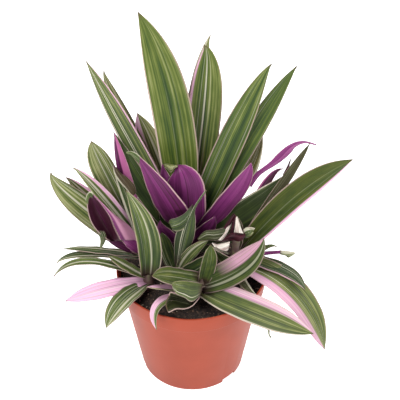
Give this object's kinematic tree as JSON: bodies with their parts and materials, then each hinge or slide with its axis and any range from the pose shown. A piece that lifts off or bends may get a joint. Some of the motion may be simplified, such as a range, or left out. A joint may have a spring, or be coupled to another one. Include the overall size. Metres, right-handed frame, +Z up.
{
  "type": "potted tradescantia",
  "caption": "Tradescantia with a clump of striped sword-shaped leaves, green above and purple below, in a round plastic nursery pot filled with soil.",
  "frame": {"origin": "middle of the pot's flat underside, on the surface it stands on", "axes": "+Z up along the pot's axis; -Y is the plant's front, the side that faces the camera in the picture"},
  "size_m": [0.2248, 0.1778, 0.2993],
  "materials": {
    "pot": "matt terracotta-coloured plastic",
    "soil": "damp dark peat with fibres",
    "stem": "fleshy, grey-purple",
    "leaf_green": "satin, striped green and cream with pink margins",
    "leaf_purple": "satin purple underside",
    "leaf_pink": "satin, mostly pale pink"
  },
  "bodies": {
    "root": {"pot": "pot", "soil": "soil", "main_stem": "stem", "left_stem": "stem", "front_left_stem": "stem", "centre_stem": "stem", "front_stem": "stem", "right_stem": "stem", "leaf_main_tall": "leaf_green", "leaf_main_back": "leaf_green", "leaf_main_back_left": "leaf_green", "leaf_main_right": "leaf_green", "leaf_main_far_right": "leaf_green", "leaf_main_left": "leaf_green", "leaf_main_left_back": "leaf_green", "leaf_main_slim": "leaf_green", "leaf_main_left_low": "leaf_green", "leaf_main_rimmed": "leaf_green", "leaf_main_right_low": "leaf_green", "leaf_purple_left": "leaf_purple", "leaf_purple_centre": "leaf_purple", "leaf_purple_right": "leaf_purple", "leaf_purple_slim": "leaf_purple", "leaf_left_far": "leaf_green", "leaf_left_far_back": "leaf_green", "leaf_left_folded": "leaf_green", "leaf_left_blunt": "leaf_green", "leaf_left_magenta": "leaf_purple", "leaf_left_purple": "leaf_purple", "leaf_left_strap_upper": "leaf_green", "leaf_left_strap_middle": "leaf_green", "leaf_left_strap_lower": "leaf_green", "leaf_front_left_short": "leaf_green", "leaf_front_left_tall": "leaf_green", "leaf_front_left_pink": "leaf_pink", "leaf_front_left_drooping": "leaf_green", "leaf_centre_tall": "leaf_green", "leaf_centre_round": "leaf_green", "leaf_centre_right": "leaf_green", "leaf_front_across": "leaf_green", "leaf_front_pink_tip": "leaf_pink", "leaf_front_curled": "leaf_green", "leaf_front_small": "leaf_pink", "leaf_front_right_long": "leaf_green", "leaf_bract_ruffled": "leaf_pink", "leaf_front_right_up": "leaf_green", "leaf_front_inner": "leaf_green", "leaf_right_long": "leaf_green", "leaf_right_dark": "leaf_green", "leaf_right_behind": "leaf_purple", "leaf_right_drooping": "leaf_green", "leaf_right_twisted": "leaf_green", "leaf_right_small_low": "leaf_green", "leaf_right_slim": "leaf_green", "leaf_right_tip": "leaf_pink", "leaf_bract": "leaf_pink", "leaf_bract_low": "leaf_green", "leaf_back_left": "leaf_green", "leaf_back_middle": "leaf_green", "leaf_back_right": "leaf_green"}
  },
  "joints": []
}
